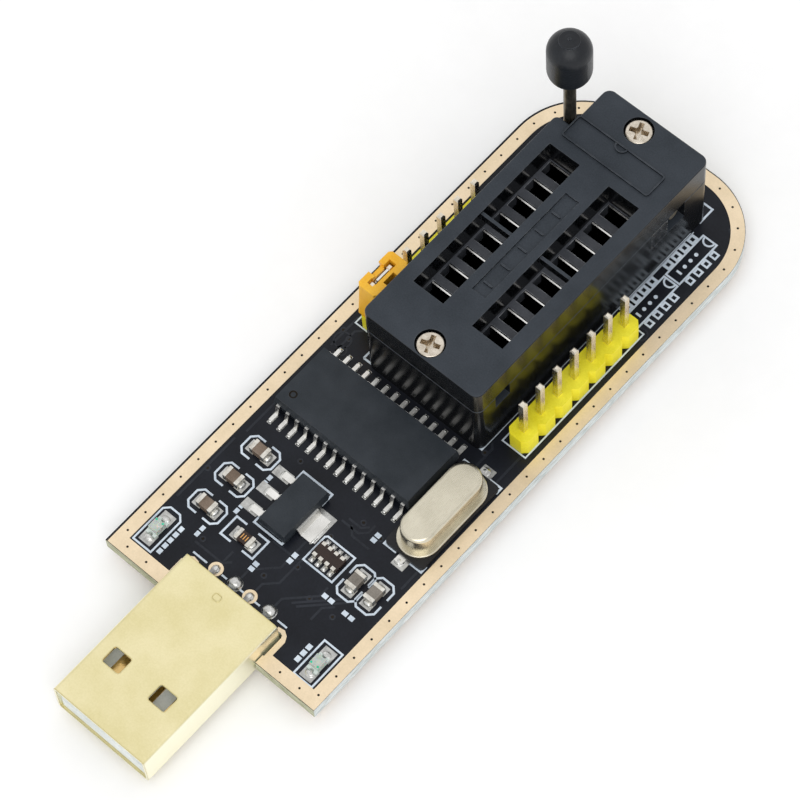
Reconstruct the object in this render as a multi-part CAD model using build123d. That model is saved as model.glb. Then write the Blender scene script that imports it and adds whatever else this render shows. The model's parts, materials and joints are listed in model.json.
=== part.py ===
from build123d import *
import math
import os

os.makedirs("parts", exist_ok=True)

# All sizes are in millimetres. Places are given on the board first: x from its long centre line, y from its
# plug-end edge towards the lever, z from its component face. save() then moves them into the part's frame,
# whose origin is under the middle of the assembly, level with the ends of the solder tails.

PITCH = 2.54
FINE_PITCH = 1.27

BOARD_WIDTH = 27.6
BOARD_LENGTH = 70.2
BOARD_THICKNESS = 1.6
BOARD_REAR_RADIUS = 8.5
TAIL_LENGTH = 1.5
TAIL_END = -(BOARD_THICKNESS + TAIL_LENGTH)

# USB type A plug, sunk into a notch in the board's edge
USB_X = 0.1
USB_FRONT = -15.05
USB_REAR = 3.5
USB_WIDTH = 12.0
USB_HEIGHT = 4.5
USB_TOP = 2.45
USB_SHEET = 0.3
USB_WINDOW = (2.2, 1.95)
USB_WINDOW_XS = (-3.18, 2.84)
USB_WINDOW_Y = USB_FRONT + 6.03
USB_TONGUE_TOP = 0.2
USB_CONTACT_X = (-3.5, -1.0, 1.0, 3.5)
USB_CONTACT_THICKNESS = 0.25
USB_JOINT_Y = 4.75
PEG_FRONT = 1.45

# Zero-insertion-force socket: base, sliding plate and screwed cover
ZIF_X = (-7.2, 7.8)
ZIF_Y = (30.95, 65.85)
ZIF_SPLIT = 7.9
ZIF_TOP = 11.3
ZIF_CORNER = 1.0
NOTCH_X = -5.3
NOTCH_Y = 60.05
NOTCH_CORNER = 0.6
NOTCH_FLOOR = 5.3
ROW_CENTRE = 0.25
ROW_SPACING = 7.62
ROWS = (ROW_CENTRE - ROW_SPACING / 2, ROW_CENTRE + ROW_SPACING / 2)
WAYS = 8
FIRST_CONTACT_Y = 39.03
WINDOW_WIDTH = 3.9
WINDOW_Y = (36.7, 57.1)
WINDOW_BAR = 0.35
PANEL_WIDTH = 1.7
PANEL_Y = (39.8, 53.8)
SCREW_X = 0.3
SCREW_YS = (32.65, 63.9)
SCREW_HEAD_R = 1.5
SCREW_SHANK_R = 0.85

# Sliding plate and the cranked lever that drives it
SLIDER_X = (-5.75, 6.25)
SLIDER_Y = (36.9, 58.3)
SLIDER_Z = (6.7, 8.2)
SLIDER_TRAVEL = 0.9
SLIDER_GAP = 0.1
CELL_WIDTH = 3.5
CELL_BEHIND = 0.2
RIB = 0.97
LEVER_X = -6.05
LEVER_Y = 60.8
LEVER_Z = 6.8
LEVER_R = 0.65
RUNNING_GAP = 0.05
CRANK_OFFSET = SLIDER_TRAVEL / 2
CRANK_HALF = 3.55
CRANK_WEB = 0.6
KNOB_R = 2.3
KNOB_BOTTOM = 18.6
KNOB_TOP = 25.4
CAVITY_X = (-4.1, 4.6)
CAVITY_Y = (59.4, 62.65)

# Stamped contacts of the socket
CONTACT_WIDTH = 3.3
CONTACT_SHEET = 0.16
CONTACT_FOOT = 1.6
CONTACT_REACH = 1.2
FRONT_ARM_TOP = 6.4

# Pin headers and the jumper cap on the left one
HEADER_WAYS = 7
HEADER_HEIGHT = 2.54
PIN_SIZE = 0.64
PIN_TOP = 8.1
RIGHT_HEADER = (10.26, 34.71)
LEFT_HEADER = (-9.6, 35.06)
JUMPER_SIZE = (2.5, 5.0)
JUMPER_Z = (2.6, 8.5)
JUMPER_LIP = 0.4
JUMPER_SHIFT = (0.15, 0.15)

# Interface chip in a 28-lead wide SO package
CHIP_CENTRE = (-2.0, 25.15)
CHIP_SIZE = (17.9, 7.5)
CHIP_Z = (0.12, 2.4)
CHIP_LEADS = 14
LEAD_WIDTH = 0.42
LEAD_SHEET = 0.2
LEAD_SPAN = 10.3

# Voltage regulator in an SOT-223 package
REGULATOR_CENTRE = (-1.7, 14.2)
REGULATOR_SIZE = (3.5, 6.5)
REGULATOR_Z = (0.08, 1.7)
REGULATOR_LEAD_PITCH = 2.3

# Low-profile quartz crystal on a moulded base
CRYSTAL_CENTRE = (9.6, 23.3)
CRYSTAL_CAN = (3.7, 10.3)
CRYSTAL_FLANGE = (4.6, 11.2)
CRYSTAL_HEIGHT = 3.5

# Chip capacitors, resistors and light-emitting diodes
CHIP_PART = (2.0, 1.25)
CAPACITOR_HEIGHT = 1.0
CAPACITORS_ACROSS = ((-8.6, 16.8), (-8.6, 12.95), (-8.6, 9.1))
CAPACITORS_ALONG = ((7.98, 12.5), (10.26, 12.65))
END_BAND = 0.45
END_PLATING = 0.03
RESISTOR_CENTRE = (-3.4, 8.9)
RESISTOR_HEIGHT = 0.5
ARRAY_CENTRE = (4.2, 12.75)
ARRAY_SIZE = (3.2, 1.6)
POWER_LED = (-10.75, 4.2)
STATUS_LED = (10.9, 3.85)
LED_BASE_HEIGHT = 0.35
LED_HEIGHT = 0.85

MIDDLE_Y = (USB_FRONT + BOARD_LENGTH) / 2


def save(name, *solids):
    shape = solids[0] if len(solids) == 1 else Compound(children=list(solids))
    export_step(Pos(0, -MIDDLE_Y, -TAIL_END) * shape, f"parts/{name}.step")


def block(x_span, y_span, z_span):
    spans = (x_span, y_span, z_span)
    sizes = [high - low for low, high in spans]
    centre = [(high + low) / 2 for low, high in spans]
    return Pos(*centre) * Box(*sizes)


def about(centre, size):
    return (centre - size / 2, centre + size / 2)


def upright(x, y, z_span, radius):
    return Pos(x, y, sum(z_span) / 2) * Cylinder(radius, z_span[1] - z_span[0])


def along_x(x_span, y, z, radius):
    return Pos(sum(x_span) / 2, y, z) * Rot(0, 90, 0) * Cylinder(radius, x_span[1] - x_span[0])


def side_profile(points, x_span):
    """Closed outline in the y-z plane, made as thick as x_span."""
    face = make_face(Polyline(*points, close=True))
    return extrude(Plane.YZ.offset(x_span[0]) * face, x_span[1] - x_span[0])


def slab(outline, z_span):
    return extrude(Pos(0, 0, z_span[0]) * outline, z_span[1] - z_span[0])


def header_places(header, ways=HEADER_WAYS):
    return [(header[0], header[1] + PITCH * way) for way in range(ways)]


def contact_places(row_x):
    return [(row_x, FIRST_CONTACT_Y + PITCH * way) for way in range(WAYS)]


# ---- circuit board ----

def circuit_board():
    outline = Pos(0, BOARD_LENGTH / 2) * Rectangle(BOARD_WIDTH, BOARD_LENGTH)
    outline = fillet(outline.vertices().group_by(Axis.Y)[-1], BOARD_REAR_RADIUS)
    gap = 0.1
    notch_half = USB_WIDTH / 2 + gap
    peg_x = USB_WIDTH / 2 - USB_SHEET / 2
    outline -= Pos(USB_X, USB_REAR / 2) * Rectangle(2 * notch_half, USB_REAR + 2 * gap)
    for side in (-1, 1):
        slot_y = (PEG_FRONT + USB_REAR) / 2
        slot = SlotOverall(USB_REAR - PEG_FRONT + 0.8, 0.8, rotation=90)
        outline -= Pos(USB_X + side * peg_x, slot_y) * slot
    for x in USB_CONTACT_X:
        outline -= Pos(USB_X + x, USB_JOINT_Y) * Circle(0.45)
    for header in (LEFT_HEADER, RIGHT_HEADER):
        for place in header_places(header):
            outline -= Pos(*place) * Circle(0.5)
    for row in ROWS:
        for place in contact_places(row):
            outline -= Pos(*place) * Circle(0.4)
    save("circuit_board", slab(outline, (-BOARD_THICKNESS, 0)))


# ---- USB plug ----

def usb_box(inset, y_span, corner):
    """Rounded tube or core of the plug, smaller than its outside by inset all round."""
    outline = RectangleRounded(USB_WIDTH - 2 * inset, USB_HEIGHT - 2 * inset, corner)
    middle = USB_TOP - USB_HEIGHT / 2
    return extrude(Plane((USB_X, y_span[1], middle), (1, 0, 0), (0, -1, 0)) * outline, y_span[1] - y_span[0])


def usb_shell():
    bottom = USB_TOP - USB_HEIGHT
    shell = usb_box(0, (USB_FRONT, USB_REAR), 0.45)
    shell -= usb_box(USB_SHEET, (USB_FRONT - 1, USB_REAR + 1), 0.15)
    window = Box(USB_WINDOW[0], USB_WINDOW[1], 2 * USB_HEIGHT)
    window = fillet(window.edges().filter_by(Axis.Z), 0.25)
    for x in USB_WINDOW_XS:
        shell -= Pos(x, USB_WINDOW_Y, 0) * window
    for side in (-1, 1):
        outer = USB_X + side * USB_WIDTH / 2
        inner = outer - side * USB_SHEET
        peg = block(sorted((inner, outer)), (PEG_FRONT, USB_REAR), (TAIL_END, bottom + 1))
        shell += peg
    seam = block(about(USB_X, 0.06), (USB_FRONT, USB_REAR), (bottom, bottom + 0.12))
    dimple = Pos(USB_X - 0.45, 1.95, USB_TOP) * Box(0.9, 0.75, 0.16)
    dimple = fillet(dimple.edges().filter_by(Axis.Z), 0.25)
    dimple = chamfer(dimple.faces().sort_by(Axis.Z)[-1].edges(), 0.06)
    save("usb_shell", shell - seam + dimple)


def usb_contact(x):
    """Flat spring contact: wide on the tongue, narrow behind it, bent down into the board."""
    top = USB_TONGUE_TOP + 0.1
    bottom = top - USB_CONTACT_THICKNESS
    rear = USB_JOINT_Y + USB_CONTACT_THICKNESS / 2
    blade = block(about(x, 1.0), (USB_FRONT + 1.1, -4.0), (bottom, top))
    stem = block(about(x, 0.6), (-4.0, rear), (bottom, top))
    leg = block(about(x, 0.6), (rear - USB_CONTACT_THICKNESS, rear), (TAIL_END, top))
    return blade + stem + leg


def usb_contacts():
    return [usb_contact(USB_X + x) for x in USB_CONTACT_X]


def usb_insulator(contacts):
    floor = USB_TOP - USB_HEIGHT + USB_SHEET
    half = USB_WIDTH / 2 - USB_SHEET
    tongue = block((USB_X - half, USB_X + half), (USB_FRONT + 0.25, -4.5), (floor, USB_TONGUE_TOP))
    tongue = chamfer(tongue.faces().sort_by(Axis.Y)[0].edges(), 0.2)
    rear = block((USB_X - half, USB_X + half), (-4.5, USB_REAR - 0.2), (floor, USB_TOP - USB_SHEET))
    body = (tongue + rear) & usb_box(USB_SHEET, (USB_FRONT, USB_REAR), 0.15)
    for contact in contacts:
        body -= contact
    save("usb_insulator", body)


def usb_plug():
    contacts = usb_contacts()
    usb_shell()
    usb_insulator(contacts)
    for number, contact in enumerate(contacts, 1):
        save(f"usb_contact_{number}", contact)


# ---- zero-insertion-force socket ----

def is_square_corner(corner, inner):
    """True for the outer corners of the plan: not the notch's inner one, nor an end of its rounded one."""
    on_side = min(abs(corner.X - x) for x in (*ZIF_X, NOTCH_X)) < 0.01
    on_end = min(abs(corner.Y - y) for y in ZIF_Y) < 0.01
    return on_side and on_end and (Vector(*corner) - inner).length > 0.1


def zif_outline():
    """Plan of base and cover: a rectangle with the lever's notch in its rear left corner."""
    corners = [
        (ZIF_X[0], ZIF_Y[0]), (ZIF_X[1], ZIF_Y[0]), (ZIF_X[1], ZIF_Y[1]),
        (NOTCH_X, ZIF_Y[1]), (NOTCH_X, NOTCH_Y), (ZIF_X[0], NOTCH_Y),
    ]
    face = make_face(Polyline(*corners, close=True))
    beside_lever = face.vertices().sort_by_distance((ZIF_X[0], NOTCH_Y, 0))[0]
    face = fillet(beside_lever, NOTCH_CORNER)
    inner = Vector(NOTCH_X, NOTCH_Y, 0)
    outer = [corner for corner in face.vertices() if is_square_corner(corner, inner)]
    return fillet(outer, ZIF_CORNER * 0.9)


def lever_saddle(x_span, radius, top):
    """Round-bottomed slot for one journal of the lever, open upwards."""
    round_part = along_x(x_span, LEVER_Y, LEVER_Z, radius)
    return round_part + block(x_span, about(LEVER_Y, 2 * radius), (LEVER_Z, top))


def zif_base():
    base = slab(zif_outline(), (0, ZIF_SPLIT))
    base = chamfer(base.faces().sort_by(Axis.Z)[-1].edges(), 0.08)
    corner_column = block((ZIF_X[0] - 1, NOTCH_X), (NOTCH_Y, ZIF_Y[1] + 1), (0, NOTCH_FLOOR))
    rectangle = RectangleRounded(ZIF_X[1] - ZIF_X[0], ZIF_Y[1] - ZIF_Y[0], ZIF_CORNER)
    footprint = slab(Pos(sum(ZIF_X) / 2, sum(ZIF_Y) / 2) * rectangle, (0, NOTCH_FLOOR))
    base += corner_column & footprint

    trough_x = (SLIDER_X[0] - SLIDER_GAP, SLIDER_X[1] + SLIDER_GAP)
    trough_y = (SLIDER_Y[0] - SLIDER_GAP, CAVITY_Y[0])
    base -= block(trough_x, trough_y, (SLIDER_Z[0] - SLIDER_GAP, ZIF_TOP))
    base -= block(CAVITY_X, CAVITY_Y, (LEVER_Z - LEVER_R - 0.2, ZIF_TOP))
    base -= lever_saddle((NOTCH_X - 1, ZIF_X[1] - 0.9), LEVER_R + RUNNING_GAP, ZIF_TOP)
    for x, y in contact_places(ROWS[0]) + contact_places(ROWS[1]):
        cell_y = (y - CONTACT_REACH - 0.25, y + CONTACT_SHEET / 2 + 0.05)
        base -= block(about(x, CELL_WIDTH), cell_y, (CONTACT_FOOT, ZIF_TOP))
        base -= block(about(x, 0.6), about(y, CONTACT_SHEET + 0.1), (-1, CONTACT_FOOT + 0.1))
    for y in SCREW_YS:
        base -= upright(SCREW_X, y, (2.4, ZIF_TOP), SCREW_SHANK_R)

    for side in (0, 1):
        wall = sorted((ZIF_X[side], ZIF_X[side] + 0.8 * (1 - 2 * side)))
        base -= block(wall, (33.5, 35.6), (5.9, ZIF_TOP))
    base -= block((ZIF_X[1] - 1.1, ZIF_X[1]), (59.2, 62.1), (5.2, ZIF_TOP))
    base -= block((ZIF_X[1] - 0.3, ZIF_X[1]), (57.0, 59.3), (5.2, ZIF_TOP))
    save("zif_base", base)


def zif_cover():
    cover = slab(zif_outline(), (ZIF_SPLIT, ZIF_TOP))
    cover = fillet(cover.faces().sort_by(Axis.Z)[-1].edges(), 0.22)
    cover = chamfer(cover.faces().sort_by(Axis.Z)[0].edges(), 0.08)
    recess_x = (SLIDER_X[0] - 0.2, SLIDER_X[1] + 0.2)
    recess_y = (SLIDER_Y[0] - 0.3, CAVITY_Y[1] + 0.1)
    ceiling = SLIDER_Z[1] + SLIDER_GAP
    cover -= block(recess_x, recess_y, (ZIF_SPLIT, ceiling))
    for row in ROWS:
        cover -= block(about(row, WINDOW_WIDTH), WINDOW_Y, (ZIF_SPLIT, ZIF_TOP))
        cover += block(about(row, WINDOW_WIDTH), about(sum(WINDOW_Y) / 2, WINDOW_BAR), (9.9, 11.0))
    for y in SCREW_YS:
        cover -= upright(SCREW_X, y, (ZIF_TOP - 1.1, ZIF_TOP), SCREW_HEAD_R + 0.06)
        cover -= upright(SCREW_X, y, (ZIF_SPLIT, ZIF_TOP), SCREW_SHANK_R + 0.15)
    cover -= block(about(ROW_CENTRE, PANEL_WIDTH), PANEL_Y, (ZIF_TOP - 0.22, ZIF_TOP))

    tongue_y = about(LEVER_Y, 2 * LEVER_R)
    tongue_z = (LEVER_Z + LEVER_R + RUNNING_GAP, ceiling)
    cover += block((NOTCH_X + 0.05, CAVITY_X[0] - 0.05), tongue_y, tongue_z)
    cover += block((CAVITY_X[1] + 0.05, ZIF_X[1] - 1.2), tongue_y, tongue_z)
    save("zif_cover", cover)


def zif_slider():
    slider = block(SLIDER_X, SLIDER_Y, SLIDER_Z)
    for x, y in contact_places(ROWS[0]) + contact_places(ROWS[1]):
        cell_y = (y + CELL_BEHIND - (PITCH - RIB), y + CELL_BEHIND)
        slider -= block(about(x, CELL_WIDTH), cell_y, SLIDER_Z)
    slider = slider.solid()
    tail_half = CRANK_HALF - 0.4
    slot_y = LEVER_Y - CRANK_OFFSET
    slot_half = LEVER_R + RUNNING_GAP
    tail = block(about(ROW_CENTRE, 2 * tail_half), (SLIDER_Y[1], slot_y + slot_half + 0.6), SLIDER_Z)
    slot = block(about(ROW_CENTRE, 2 * tail_half), about(slot_y, 2 * slot_half), SLIDER_Z)
    bridge_z = (SLIDER_Z[1] - 0.1, SLIDER_Z[1])
    tail -= slot
    ties = [block(about(ROW_CENTRE + side * (tail_half - 0.2), 0.4), about(slot_y, 2 * slot_half), bridge_z)
            for side in (-1, 1)]
    save("zif_slider", slider + tail + ties[0] + ties[1])


def zif_contact(x, y):
    """Stamped spring: a tall rear arm, a short front arm with a pip, and one solder tail."""
    rear = y + CONTACT_SHEET / 2
    front = y - CONTACT_REACH
    rear_inner = rear - CONTACT_SHEET
    front_inner = front + CONTACT_SHEET
    floor = CONTACT_FOOT + CONTACT_SHEET
    points = [
        (rear, CONTACT_FOOT), (rear, SLIDER_Z[1]), (rear_inner, SLIDER_Z[1]), (rear_inner, floor),
        (front_inner, floor), (front_inner, FRONT_ARM_TOP), (front, FRONT_ARM_TOP), (front, CONTACT_FOOT),
    ]
    spring = side_profile(points, about(x, CONTACT_WIDTH))
    spring += block(about(x, 0.45), (front, front_inner), (FRONT_ARM_TOP, FRONT_ARM_TOP + 0.18))
    return spring + block(about(x, 0.5), about(y, CONTACT_SHEET), (TAIL_END, CONTACT_FOOT))


def zif_screw(y):
    head = upright(SCREW_X, y, (ZIF_TOP - 1.1, ZIF_TOP - 0.15), SCREW_HEAD_R)
    head = fillet(head.edges().sort_by(Axis.Z)[-1], 0.3)
    cross = Rectangle(2.1, 0.6) + Rectangle(0.6, 2.1)
    cross = fillet(cross.vertices().sort_by_distance((0, 0, 0))[:4], 0.2)
    recess = extrude(Pos(SCREW_X, y, ZIF_TOP) * Rot(0, 0, 20) * cross, -0.95, taper=14)
    shank = upright(SCREW_X, y, (2.6, ZIF_TOP - 1.1), SCREW_SHANK_R)
    return head + shank - recess


def lever_arm():
    """Bent rod: upright stem, two journals and the crank pin between them."""
    crank_x = about(ROW_CENTRE, 2 * CRANK_HALF)
    pin_y = LEVER_Y - CRANK_OFFSET
    pin_z = LEVER_Z + CRANK_OFFSET
    arm = upright(LEVER_X, LEVER_Y, (LEVER_Z, KNOB_TOP - 3.0), LEVER_R)
    arm += Pos(LEVER_X, LEVER_Y, LEVER_Z) * Sphere(LEVER_R)
    arm += along_x((LEVER_X, crank_x[0]), LEVER_Y, LEVER_Z, LEVER_R)
    arm += along_x(crank_x, pin_y, pin_z, LEVER_R)
    arm += along_x((crank_x[1], ZIF_X[1] - 0.4), LEVER_Y, LEVER_Z, LEVER_R)
    offset = math.hypot(CRANK_OFFSET, CRANK_OFFSET)
    for x in (crank_x[0] - CRANK_WEB / 2, crank_x[1] + CRANK_WEB / 2):
        web_outline = SlotCenterToCenter(offset, 2 * LEVER_R, rotation=135)
        middle = (x - CRANK_WEB / 2, LEVER_Y - CRANK_OFFSET / 2, LEVER_Z + CRANK_OFFSET / 2)
        arm += extrude(Plane(middle, (0, 1, 0), (1, 0, 0)) * web_outline, CRANK_WEB)
    save("lever_arm", arm)


def lever_knob():
    """Moulded grip: a flared neck, a straight barrel and a domed top with its mould gate's disc and pip."""
    shoulder = KNOB_BOTTOM + 1.75
    crown = KNOB_TOP - 2.1
    profile = Polyline((0, crown), (0, KNOB_BOTTOM), (1.15, KNOB_BOTTOM))
    flare = [(1.15, KNOB_BOTTOM), (2.0, KNOB_BOTTOM + 0.75), (KNOB_R, shoulder)]
    profile += Spline(flare, tangents=[(1, 0.35), (0, 1)])
    profile += Line((KNOB_R, shoulder), (KNOB_R, crown))
    profile += EllipticalCenterArc((0, crown), KNOB_R, KNOB_TOP - crown, arc_size=90)
    profile += Line((0, KNOB_TOP), (0, crown))
    knob = revolve(Plane.XZ * make_face(profile), Axis.Z)
    disc = upright(0, 0, (KNOB_TOP - 0.6, KNOB_TOP - 0.08), 1.08)
    disc = fillet(disc.edges().sort_by(Axis.Z)[-1], 0.06)
    pip = upright(0, 0, (KNOB_TOP - 0.3, KNOB_TOP + 0.08), 0.16)
    bore = upright(0, 0, (KNOB_BOTTOM - 1, KNOB_TOP - 3.0), LEVER_R)
    save("lever_knob", Pos(LEVER_X, LEVER_Y, 0) * (knob + disc + pip - bore))


def shaft_clip():
    """Thin spring strip in the base's right wall, folded in beside the lever's journal."""
    plate = block((ZIF_X[1] - 0.28, ZIF_X[1] - 0.03), (57.05, 59.45), (5.25, ZIF_SPLIT - 0.05))
    leg = block((ZIF_X[1] - 1.05, ZIF_X[1] - 0.03), (59.25, 59.45), (5.25, ZIF_SPLIT - 0.05))
    save("shaft_clip", plate + leg)


def zif_socket():
    zif_base()
    zif_cover()
    zif_slider()
    for name, row in zip(("left", "right"), ROWS):
        save(f"zif_contacts_{name}", *[zif_contact(*place) for place in contact_places(row)])
    for name, y in zip(("front", "rear"), SCREW_YS):
        save(f"cover_screw_{name}", zif_screw(y))
    lever_arm()
    lever_knob()
    shaft_clip()


# ---- pin headers and jumper ----

def header_body(header):
    """Strip of moulded blocks, each with its four upright edges cut back."""
    block_outline = chamfer(Rectangle(PITCH, PITCH).vertices(), 0.55)
    outline = Sketch() + [Pos(*place) * block_outline for place in header_places(header)]
    body = slab(outline, (0, HEADER_HEIGHT))
    for place in header_places(header):
        body -= Pos(*place, HEADER_HEIGHT / 2) * Box(PIN_SIZE, PIN_SIZE, HEADER_HEIGHT)
    return body


def header_pin(x, y):
    pin = block(about(x, PIN_SIZE), about(y, PIN_SIZE), (TAIL_END, PIN_TOP))
    return chamfer(pin.faces().sort_by(Axis.Z)[-1].edges(), 0.14)


def pin_headers():
    for name, header in (("left", LEFT_HEADER), ("right", RIGHT_HEADER)):
        save(f"header_body_{name}", header_body(header))
        save(f"header_pins_{name}", *[header_pin(*place) for place in header_places(header)])


def jumper_body(x, y):
    """Cap's outside: a square-edged top lip over a body that widens towards the header."""
    lip_z = (JUMPER_Z[1] - JUMPER_LIP, JUMPER_Z[1])
    lip = block(about(x, JUMPER_SIZE[0]), about(y, JUMPER_SIZE[1]), lip_z)
    lip = chamfer(lip.edges().filter_by(Axis.Z), 0.3)
    lip = chamfer(lip.faces().sort_by(Axis.Z)[-1].edges(), 0.06)
    waist = Pos(x, y, lip_z[0]) * Rectangle(JUMPER_SIZE[0] - 0.2, JUMPER_SIZE[1] - 0.2)
    base = Pos(x, y, JUMPER_Z[0]) * Rectangle(JUMPER_SIZE[0] + 0.3, JUMPER_SIZE[1] + 0.3)
    body = loft([base, waist])
    return lip + fillet(body.edges().group_by(Axis.Z)[1], 0.2)


def jumper():
    """Cap over the left header's first two pins, with a folded clip that grips them."""
    x = LEFT_HEADER[0]
    y = LEFT_HEADER[1] + PITCH / 2
    centre = (x + JUMPER_SHIFT[0], y + JUMPER_SHIFT[1])
    roof = JUMPER_Z[1] - 0.7
    cap = jumper_body(*centre)
    notch_y = about(centre[1], 1.5)
    left = centre[0] - JUMPER_SIZE[0] / 2
    right = centre[0] + JUMPER_SIZE[0] / 2
    cap -= block((left - 1, left + 0.35), notch_y, JUMPER_Z)
    cap -= block((left - 1, x - 0.25), notch_y, (JUMPER_Z[1] - 0.35, JUMPER_Z[1]))
    cap -= block((right - 0.55, right + 1), notch_y, JUMPER_Z)
    cap -= block(about(x, 1.24), about(y, PITCH + 1.3), (JUMPER_Z[0], roof))
    cap -= block(about(x + 0.05, 0.9), about(y + PITCH / 2, 0.95), (roof, JUMPER_Z[1]))
    cap -= block(about(x, 0.7), about(y - PITCH / 2, 0.7), (roof, JUMPER_Z[1]))
    cap -= block((x - 0.25, x + 0.45), about(y, PITCH), (roof, JUMPER_Z[1]))
    save("jumper_cap", cap)
    inner = PIN_SIZE / 2 + RUNNING_GAP
    clip_z = (JUMPER_Z[0] + 0.4, roof - 0.1)
    clip = block((x - 0.6, x - inner), about(y, PITCH + 1.0), clip_z)
    clip += block((x + inner, x + 0.6), about(y, PITCH + 1.0), clip_z)
    clip += block((x - 0.6, x + 0.6), about(y, PITCH - PIN_SIZE - 0.3), (6.6, clip_z[1]))
    clip += block((x + 0.08, x + 0.32), about(y, PITCH - PIN_SIZE - 0.3), (clip_z[1], JUMPER_Z[1] - 0.05))
    save("jumper_clip", clip)


# ---- chip, regulator and crystal ----

def moulded_body(centre, size, z_span, draft):
    """Package body with its sides drafted both ways from the lead line."""
    middle = sum(z_span) / 2
    half = z_span[1] - middle
    outline = Pos(centre[0], centre[1], middle) * Rectangle(*size)
    return extrude(outline, half, taper=draft) + extrude(outline, -half, taper=draft)


def gull_wing(along, width, inner, outer, height, sheet):
    """Bent lead across y: flat at height, down, then a foot that reaches outer."""
    way = 1 if outer > inner else -1
    knee = inner + way * 0.35
    ankle = knee + way * 0.3
    foot = 0.04
    bend = way * 0.12
    points = [
        (inner, height), (knee, height), (ankle, foot + sheet), (outer, foot + sheet),
        (outer, foot), (ankle - bend, foot), (knee - bend, height - sheet), (inner, height - sheet),
    ]
    return side_profile(points, about(along, width))


def interface_chip():
    body = moulded_body(CHIP_CENTRE, CHIP_SIZE, CHIP_Z, 8)
    body -= upright(-9.6, 22.9, (CHIP_Z[1] - 0.08, CHIP_Z[1]), 0.45)
    half = CHIP_SIZE[1] / 2
    leads = []
    for side in (-1, 1):
        for lead in range(CHIP_LEADS):
            x = CHIP_CENTRE[0] + (lead - (CHIP_LEADS - 1) / 2) * FINE_PITCH
            inner = CHIP_CENTRE[1] + side * (half - 0.15)
            outer = CHIP_CENTRE[1] + side * LEAD_SPAN / 2
            leads.append(gull_wing(x, LEAD_WIDTH, inner, outer, 1.4, LEAD_SHEET))
    for lead in leads:
        body -= lead
    save("interface_chip", body)
    save("interface_chip_leads", *leads)


def regulator():
    x, y = REGULATOR_CENTRE
    body = moulded_body(REGULATOR_CENTRE, REGULATOR_SIZE, REGULATOR_Z, 8)
    turn = Pos(x, y, 0) * Rot(0, 0, -90)
    reach = REGULATOR_SIZE[0] / 2
    leads = []
    for number in (-1, 0, 1):
        lead = gull_wing(number * REGULATOR_LEAD_PITCH, 0.72, -reach + 0.15, -reach - 1.75, 0.95, 0.26)
        leads.append(turn * lead)
    tab = turn * gull_wing(0, 3.0, reach - 0.15, reach + 1.75, 0.95, 0.26)
    for piece in leads + [tab]:
        body -= piece
    save("regulator", body)
    save("regulator_leads", *leads)
    save("regulator_tab", tab)


def crystal():
    x, y = CRYSTAL_CENTRE
    place = Pos(x, y, 0)
    base_top = 0.55
    base = slab(place * RectangleRounded(4.9, 11.6, 0.5), (0.05, base_top))
    leads = []
    for side in (-1, 1):
        lead = block(about(x, 0.9), sorted((y + side * 3.2, y + side * 6.6)), (0.05, 0.25))
        leads.append(lead)
        base -= lead
    flange_outline = SlotOverall(CRYSTAL_FLANGE[1], CRYSTAL_FLANGE[0], rotation=90)
    flange = slab(place * flange_outline, (base_top, base_top + 0.35))
    flange = fillet(flange.edges().group_by(Axis.Z)[-1], 0.12)
    can = slab(place * SlotOverall(CRYSTAL_CAN[1], CRYSTAL_CAN[0], rotation=90), (base_top, CRYSTAL_HEIGHT))
    can = fillet(can.edges().group_by(Axis.Z)[-1], 0.42)
    save("crystal_can", can + flange)
    save("crystal_base", base)
    save("crystal_leads", *leads)


# ---- chip parts ----

def ended_part(centre, turn, size, height):
    """Body of a chip part and its two plated end caps, with the caps a little proud of the body."""
    place = Pos(*centre, 0.03) * Rot(0, 0, turn)
    inset = END_PLATING
    body = block(about(0, size[0] - 2 * inset), about(0, size[1] - 2 * inset), (inset, height - inset))
    body = chamfer(body.edges().filter_by(Axis.X), 0.03)
    ends = []
    for side in (-1, 1):
        cap_x = sorted((side * size[0] / 2, side * (size[0] / 2 - END_BAND)))
        cap = block(cap_x, about(0, size[1]), (0, height))
        outer_face = cap.faces().sort_by(Axis.X)[-1 if side > 0 else 0]
        cap = fillet(outer_face.edges(), 0.1)
        ends.append(cap - body)
    return place * body, [place * end for end in ends]


def capacitors():
    places = [(place, 0) for place in CAPACITORS_ACROSS] + [(place, 90) for place in CAPACITORS_ALONG]
    for number, (place, turn) in enumerate(places, 1):
        body, ends = ended_part(place, turn, CHIP_PART, CAPACITOR_HEIGHT)
        save(f"capacitor_{number}", body)
        save(f"capacitor_{number}_ends", *ends)


def resistors():
    body, ends = ended_part(RESISTOR_CENTRE, 0, CHIP_PART, RESISTOR_HEIGHT)
    save("resistor", body)
    save("resistor_ends", *ends)
    x, y = ARRAY_CENTRE
    body = block(about(x, ARRAY_SIZE[0]), about(y, ARRAY_SIZE[1]), (0.05, 0.55))
    ends = []
    for side in (-1, 1):
        for way in range(4):
            end_x = x + (way - 1.5) * 0.8
            end_y = y + side * (ARRAY_SIZE[1] / 2 - 0.1)
            ends.append(block(about(end_x, 0.45), about(end_y, 0.36), (0.03, 0.58)))
    for end in ends:
        body -= end
    save("resistor_array", body)
    save("resistor_array_ends", *ends)


def lamp(name, centre):
    """Chip light: a carrier with wrapped ends and a clear moulded lens."""
    x, y = centre
    carrier = block(about(x, CHIP_PART[1]), about(y, CHIP_PART[0]), (0.03, LED_BASE_HEIGHT))
    for side in (-1, 1):
        carrier -= upright(x, y + side * CHIP_PART[0] / 2, (0, 1), 0.28)
    lens_outline = Pos(x, y, LED_BASE_HEIGHT) * Rectangle(CHIP_PART[1], 1.3)
    lens = extrude(lens_outline, LED_HEIGHT - LED_BASE_HEIGHT, taper=6)
    save(f"{name}_carrier", carrier)
    save(f"{name}_lens", lens)


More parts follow.
